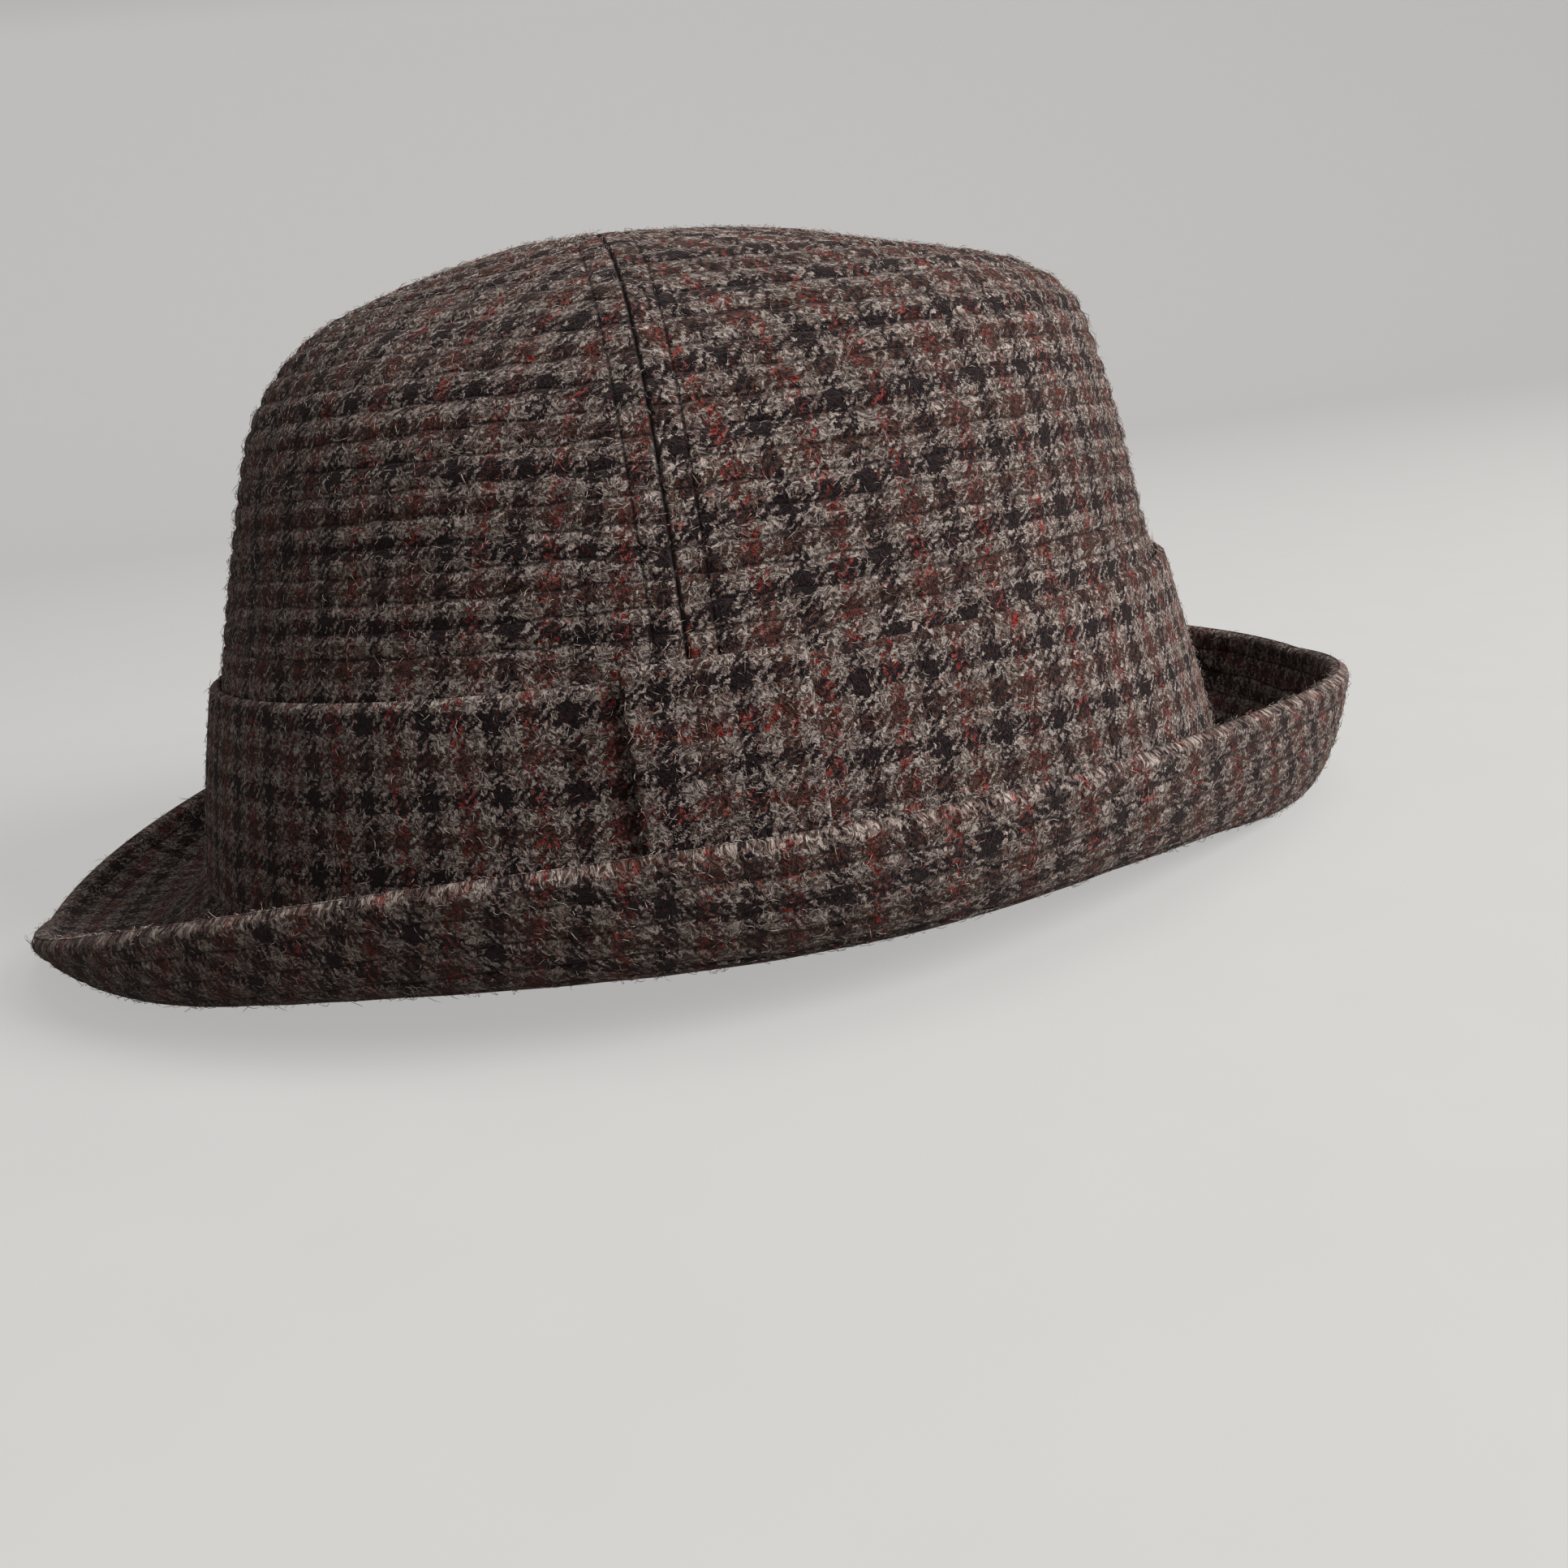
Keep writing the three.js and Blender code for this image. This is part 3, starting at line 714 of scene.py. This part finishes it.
def brim_line(turn):
    """Underside of the brim at a turn round it: where it starts, the way out, and its section."""
    c, s = math.cos(turn), math.sin(turn)
    a, b = CROWN_WIDE / 2, CROWN_LONG / 2
    out = np.array([c / a, s / b, 0])
    out /= np.linalg.norm(out)
    head = np.array([a * c, CROWN_MIDDLE + b * s, 0]) - out * BRIM_TUCK
    at_end = BRIM_LONG / 2 - math.copysign(CROWN_MIDDLE, s) * (abs(s) > 1e-9) - b
    at_side = BRIM_WIDE / 2 - a
    pull = (BRIM_FRONT_PULL if s < 0 else BRIM_BACK_PULL) * math.sin(2 * turn) ** 2
    wide = at_end + (at_side - at_end) * c * c - pull + BRIM_TUCK
    start = head_line(head[1]) - 0.3 - 4.0
    rise = min(max((abs(c) - 0.35) / 0.65, 0), 1)
    lift = (start - BRIM_DROP_TO) * rise * rise * (3 - 2 * rise)
    end = BRIM_FRONT if s < 0 else BRIM_BACK
    top = end + (BRIM_SIDE - end) * abs(c) ** 1.1
    rough = np.array([(f * wide, lift + (start - lift) * k if k >= 0 else lift - (top - lift) * k)
                      for f, k in BRIM_LINE])
    line = smooth_line(rough, np.linspace(0, 1, 161))
    run = np.concatenate([[0], np.cumsum(np.linalg.norm(np.diff(line, axis=0), axis=1))])
    return head, out, line, run


def brim_layer(name, low, high, finish, slot, stands_for, up=1, around_count=320):
    """One ring of the brim. Both cloths turn in at the edge until they meet over the canvas."""
    sections, flats, offs = [], [], []
    middle = (BRIM_DEPTHS["under"][0] + BRIM_DEPTHS["upper"][1]) / 2
    for turn in around(around_count):
        head, out, line, run = brim_line(turn)
        whole = run[-1]
        canvas_ring = name.startswith("brim_canvas")
        reach = whole - (3.0 if canvas_ring else 0)
        count = 12 if canvas_ring else 66
        places = np.linspace(0.2, reach, count)
        x = np.interp(places, run, line[:, 0])
        z = np.interp(places, run, line[:, 1])
        dx, dz = np.gradient(x, places), np.gradient(z, places)
        size = np.hypot(dx, dz)
        dx, dz = dx / size, dz / size
        from_edge = whole - places
        from_row = (from_edge - BRIM_ROW_FIRST) / BRIM_ROW_PITCH
        from_row = from_row + 0.04 * np.sin(turn * 37 + np.round(from_row) * 2.1)
        near = np.where(from_row < -0.5, 0.5, from_row - np.round(from_row))
        sink = 0.0 if canvas_ring else 0.4 * np.clip(1 - abs(near) / 0.16, 0, 1) ** 1.5
        bend = np.clip(1 - from_edge / 2.0, 0, 1)
        turn_in = 0.0 if canvas_ring else (middle - 0.04) * (1 - np.sqrt(1 - bend ** 2))
        flat_out = head + out * x[:, None]
        spot = np.stack([flat_out[:, 0], flat_out[:, 1], z], 1)
        loose = 0.0 if canvas_ring else 0.16 * ripple(spot, 10.0, 7.0)
        show, hide = (low, high) if up < 0 else (high, low)
        face_up = show - up * (sink + turn_in - loose)
        hide_up = hide - up * (turn_in * 0.45)
        gap = up * (face_up - hide_up)
        hide_up = np.where(gap < 0.05, face_up - up * 0.05, hide_up)

        def lifted(height):
            return np.stack([head[0] + out[0] * (x - dz * height),
                             head[1] + out[1] * (x - dz * height), z + dx * height], 1)

        face, behind = lifted(face_up), lifted(hide_up)
        sections.append(np.concatenate([face, behind[::-1], face[:1]]))
        cut = head + out * places[:, None]
        laid = np.stack([cut[:, 1], -cut[:, 0]], 1)
        flats.append(np.concatenate([laid, laid[::-1], laid[:1]]))
        far = np.stack([near * BRIM_ROW_PITCH, from_edge], 1)
        offs.append(np.concatenate([far, far[::-1], far[:1]]))
    sections, flats, offs = np.array(sections), np.array(flats) + 150, np.array(offs)
    piece = sewn_piece(name, sections, None, flats, stands_for)
    if not canvas_ring:
        spots = {tuple(np.round(Vector(at) / 1000, 7)): far
                 for at, far in zip(sections.reshape(-1, 3), offs.reshape(-1, 2))}
        add_rows(piece, spots)
    piece.data.materials.append(finish)
    return sections[:, :66]


brim_tweed = tweed("brim_tweed", rows="rows", worn=True)
under_face = brim_layer("brim_under_cloth", *BRIM_DEPTHS["under"], brim_tweed, "tweed",
                        ["brim_under"], up=-1)
brim_layer("brim_canvas", *BRIM_DEPTHS["canvas"], canvas, "canvas", ["brim_interlining"],
           around_count=120)
# The top cloth is toned down, as it lies in the shade of the curl and the crown
TOP_SHADE = 0.74
top_tweed = tweed("brim_top_tweed", rows="rows", worn=True, shade=TOP_SHADE)
upper_face = brim_layer("brim_upper_cloth", *BRIM_DEPTHS["upper"], top_tweed, "tweed",
                        ["brim_upper"])
add_nap("brim_under_nap", under_face, 6500, 23, away_from=(0, 0, 500))
add_nap("brim_upper_nap", upper_face, 6500, 24, away_from=(0, 0, -500))

# ---------------------------------------------------------------------------
# Band: a strip of the crown's tweed, folded at both edges, laid round the
# crown down to the brim and caught down along its lower edge.
# ---------------------------------------------------------------------------
BAND_OUT, BAND_THICK, BAND_HIGH = 0.45, 1.8, 37


def foot(angle, beyond):
    """Height of the brim's top beside the crown, measured from the head line."""
    x, y = head_oval(angle)
    turn = math.atan2((y - CROWN_MIDDLE) / (CROWN_LONG / 2), x / (CROWN_WIDE / 2))
    line = brim_line(turn)[2]
    under = np.interp(BRIM_TUCK + beyond, line[:, 0], line[:, 1])
    return min(float(under) + BRIM_DEPTHS["upper"][1] - head_line(y) - 0.2, -0.2)


def folded_wall(angle, low, high, out_from, thick, bulge=0.0, rows_up=40, seed=1.0):
    """Section of a folded strip on the crown wall: up its face, over the fold and down its back."""
    heights = np.linspace(low, high, rows_up)
    at, out = on_crown(angle, at_height(angle, heights))
    at[:, 2] += np.minimum(heights, 0)
    edge = np.minimum(heights - low, high - heights)
    turn = np.clip(1 - edge / (thick * 0.75), 0, 1)
    rounded = thick * 0.5 * (1 - np.sqrt(1 - turn ** 2))
    swell = bulge * np.sin(math.pi * (heights - low) / (high - low))
    uneven = 0.18 * ripple(at, 11.0, seed) * np.clip(edge / 3, 0, 1)
    face = at + out * (out_from + thick - rounded + swell + uneven)[:, None]
    back = at + out * (out_from + rounded * 0.6)[:, None]
    loop = np.concatenate([face, back[::-1], face[:1]])
    flat = np.concatenate([heights, heights[::-1], heights[:1]])
    return loop, flat


sections, flats = [], []
length = 0
before = None
for angle in around(300):
    loop, flat = folded_wall(angle, foot(angle, 1.6), BAND_HIGH, BAND_OUT, BAND_THICK, 0.35, 44, 2.0)
    middle = loop[20]
    length += 0 if before is None else float(np.linalg.norm(middle - before))
    before = middle
    sections.append(loop)
    flats.append(np.stack([np.full(len(flat), length), flat + 7.5 + 0.02 * length], 1))
band = sewn_piece("hat_band_cloth", np.array(sections), None, np.array(flats),
                  stands_for=["hat_band"])
band.data.materials.append(tweed("band_tweed"))
add_nap("hat_band_nap", np.array(sections)[:, :44], 4200, 21)

# ---------------------------------------------------------------------------
# Keeper: a wide flat loop of the same tweed, cut across the check, over the
# join of the band on the wearer's left. Its edges are folded under.
# ---------------------------------------------------------------------------
KEEPER_OUT, KEEPER_THICK, KEEPER_HIGH = 2.55, 2.0, 38.8


def left_angle(y):
    out = (y - CROWN_MIDDLE) / (CROWN_LONG / 2)
    return math.atan2(y - SEAM_Y, CROWN_WIDE / 2 * math.sqrt(1 - out * out))


KEEPER_FRONT, KEEPER_BACK = -21.3, 8.2
face, back, flats = [], [], []
for y in np.linspace(KEEPER_FRONT, KEEPER_BACK, 57):
    angle = left_angle(float(y))
    low = foot(angle, 3.2)
    heights = np.linspace(low, KEEPER_HIGH, 70)
    at, out = on_crown(angle, at_height(angle, heights))
    at[:, 2] += np.minimum(heights, 0)
    side = min(y - KEEPER_FRONT, KEEPER_BACK - y)
    edge = np.minimum(np.minimum(heights - low, KEEPER_HIGH - heights), side)
    turn = np.clip(1 - edge / 1.5, 0, 1)
    rounded = 0.85 * (1 - np.sqrt(1 - turn ** 2))
    uneven = 0.15 * ripple(at, 8.0, 5.0) * np.clip(edge / 3, 0, 1)
    face.append(at + out * (KEEPER_OUT + KEEPER_THICK - rounded + uneven)[:, None])
    back.append(at + out * (KEEPER_OUT + rounded * 0.3)[:, None])
    flats.append(np.stack([np.full(70, y + 4.4), heights + 4.6], 1))
keeper = sewn_piece("band_keeper_cloth", np.array(face), np.array(back), np.array(flats),
                    stands_for=["band_keeper"])
keeper.data.materials.append(tweed("keeper_tweed", turned=True))
add_nap("band_keeper_nap", np.array(face), 900, 22)

# ---------------------------------------------------------------------------
# Floor and backdrop: one plain pale sweep of card. It glows faintly where the
# camera sees it, and throws less light back on the hat than it seems to.
# ---------------------------------------------------------------------------
CARD_LONG, CARD_WIDE, FLAT_TO, SWEEP = 12, 14, 1.8, 0.9  # metres
bm = bmesh.new()
bmesh.ops.create_grid(bm, x_segments=120, y_segments=2, size=0.5)
for v in bm.verts:
    far = (0.5 - v.co.x) * CARD_LONG - CARD_LONG / 2  # from in front of the hat, away behind it
    bend = min(max(far - FLAT_TO, 0), math.pi / 2 * SWEEP)
    turn = bend / SWEEP
    rise = max(far - FLAT_TO - bend, 0)
    away = min(far, FLAT_TO) + SWEEP * math.sin(turn)
    v.co = Vector((-away, v.co.y * CARD_WIDE, SWEEP * (1 - math.cos(turn)) + rise))
bmesh.ops.recalc_face_normals(bm, faces=bm.faces)
for part in bm.faces:
    part.smooth = True
    if part.normal.z < -0.01:
        part.normal_flip()
mesh = bpy.data.meshes.new("studio_floor")
bm.to_mesh(mesh)
bm.free()
floor = bpy.data.objects.new("studio_floor", mesh)
bpy.context.collection.objects.link(floor)
f = Finish("pale_card", Specular_IOR_Level=0.2)
spot = f.add("TexCoord", {}, {}, 3)
speck = f.noise(spot, 40.0, 3)
seen = f.add("LightPath", {}, {}, 0).most(f.add("LightPath", {}, {}, 3))
seen = seen.most(f.add("LightPath", {}, {}, 6))
card = f.blend(speck, dye(176, 174, 171), dye(184, 182, 179))
f.join(f.blend(seen, dye(118, 112, 108), card), f.shader.inputs["Base Color"])
f.join(0.85 + 0.1 * speck, f.shader.inputs["Roughness"])
glow = f.add("Emission", {}, {"Color": dye(238, 237, 235), "Strength": 1.0})
even = f.add("MixShader", {}, {0: seen * 0.5})
f.tree.links.new(f.shader.outputs[0], even.socket.node.inputs[1])
f.tree.links.new(glow.socket, even.socket.node.inputs[2])
f.tree.links.new(even.socket, f.tree.nodes["Material Output"].inputs["Surface"])
floor.data.materials.append(f.material)

# ---------------------------------------------------------------------------
# Light: a large soft lamp behind the wearer's left shoulder, a weaker one
# overhead, and a dim even surround that looks pale only to the camera.
# ---------------------------------------------------------------------------


def soft_lamp(name, place, aim, size, power):
    lamp = bpy.data.lights.new(name, "AREA")
    lamp.shape, lamp.size, lamp.energy = "DISK", size, power
    holder = bpy.data.objects.new(name, lamp)
    holder.matrix_world = Matrix.Translation(place) @ (
        Vector(aim) - Vector(place)).to_track_quat("-Z", "Y").to_matrix().to_4x4()
    bpy.context.collection.objects.link(holder)


HAT_MIDDLE = (0, 0, 0.06)  # metres, as the lamps and the camera are
ROOM_LIGHT = 0.28
soft_lamp("window", (0.85, 1.15, 0.82), HAT_MIDDLE, 0.9, 33)
soft_lamp("overhead", (0.2, 0.4, 1.7), HAT_MIDDLE, 1.0, 6)
world = bpy.data.worlds.new("room")
world.use_nodes = True
tree = world.node_tree
room = tree.nodes["Background"]
room.inputs["Color"].default_value = (1.0, 0.97, 0.95, 1)
room.inputs["Strength"].default_value = ROOM_LIGHT
card = tree.nodes.new("ShaderNodeBackground")
card.inputs["Color"].default_value = dye(205, 204, 202)
path, either = tree.nodes.new("ShaderNodeLightPath"), tree.nodes.new("ShaderNodeMixShader")
tree.links.new(path.outputs["Is Camera Ray"], either.inputs["Fac"])
tree.links.new(room.outputs[0], either.inputs[1])
tree.links.new(card.outputs[0], either.inputs[2])
tree.links.new(either.outputs[0], tree.nodes["World Output"].inputs["Surface"])
bpy.context.scene.world = world
bpy.context.scene.view_settings.view_transform = "Standard"

# ---------------------------------------------------------------------------
# Camera: low on the wearer's left, a little in front of the side seams.
# ---------------------------------------------------------------------------
view, rise = Vector((-0.9598, 0.1521, -0.2358)), Vector((-0.2127, 0.1539, 0.9649))
view.normalize()
right = view.cross(rise).normalized()
rise = right.cross(view)
lens = bpy.data.cameras.new("camera")
lens.lens, lens.sensor_width = 36, 36
lens.clip_start = 0.01
camera = bpy.data.objects.new("camera", lens)
turned = Matrix((right, rise, -view)).transposed().to_4x4()
camera.matrix_world = Matrix.Translation((0.3253, -0.0360, 0.0896)) @ turned
bpy.context.collection.objects.link(camera)
bpy.context.scene.camera = camera
